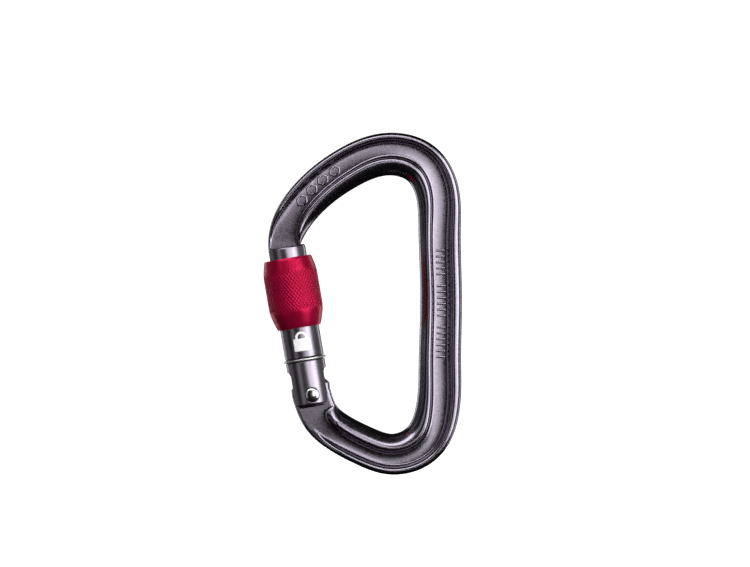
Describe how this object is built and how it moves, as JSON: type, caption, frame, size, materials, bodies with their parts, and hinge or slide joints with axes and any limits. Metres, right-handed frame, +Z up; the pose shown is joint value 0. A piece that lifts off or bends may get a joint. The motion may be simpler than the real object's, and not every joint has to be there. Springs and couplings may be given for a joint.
{
  "type": "locking carabiner",
  "caption": "D-shaped locking carabiner with an I-section forged body, a sprung gate hinged on a rivet and a knurled screw sleeve threaded on the gate.",
  "frame": {"origin": "inner apex of the top bow, half way through the thickness: the point the carabiner hangs from", "axes": "+X from the gate towards the spine, +Y to the back face (the front face, with the padlock mark on the gate, looks along -Y), +Z up along the long axis, away from the hinge end"},
  "size_m": [0.0597, 0.0164, 0.1027],
  "materials": {
    "anodised_body": "gloss anodised gun-metal grey",
    "anodised_gate": "gloss anodised gun-metal grey",
    "rivet_steel": "polished",
    "ring_steel": "bright drawn wire",
    "spring_steel": "bright drawn wire",
    "plunger_steel": "ground",
    "friction_nylon": "matte",
    "anodised_sleeve": "satin anodised crimson, knurled"
  },
  "bodies": {
    "forged_body": {"body": "anodised_body"},
    "gate_assembly": {"gate": "anodised_gate", "hinge_rivet": "rivet_steel", "retaining_ring": "ring_steel", "gate_spring": "spring_steel"},
    "plunger": {"spring_plunger": "plunger_steel"},
    "drag_ring": {"friction_ring": "friction_nylon"},
    "screw_sleeve": {"sleeve": "anodised_sleeve"}
  },
  "joints": [
    {"name": "gate_hinge", "type": "hinge", "parent": "forged_body", "child": "gate_assembly", "pos_m": [-0.0232, 0, -0.0656], "axis": [0, 1, 0], "range_deg": [0, 37], "stiffness_Nm_per_rad": 0.23, "springref_deg": -24.64},
    {"name": "plunger_travel", "type": "slide", "parent": "gate_assembly", "child": "plunger", "axis": [-0.1685, 0, 0.9857], "range_m": [0, 0.00195], "deforming": ["gate_spring"]},
    {"name": "sleeve_travel", "type": "slide", "parent": "gate_assembly", "child": "drag_ring", "axis": [-0.1685, 0, 0.9857], "range_m": [-0.0089, 0.0033]},
    {"name": "sleeve_turn", "type": "hinge", "parent": "drag_ring", "child": "screw_sleeve", "pos_m": [-0.02892, 0, -0.03513], "axis": [-0.1685, 0, 0.9857], "range_deg": [-802, 298]}
  ],
  "couplings": [
    {"joint": "plunger_travel", "follows": "gate_hinge", "m_per_rad": 0.003},
    {"joint": "sleeve_turn", "follows": "sleeve_travel", "rad_per_m": 1570.8}
  ]
}
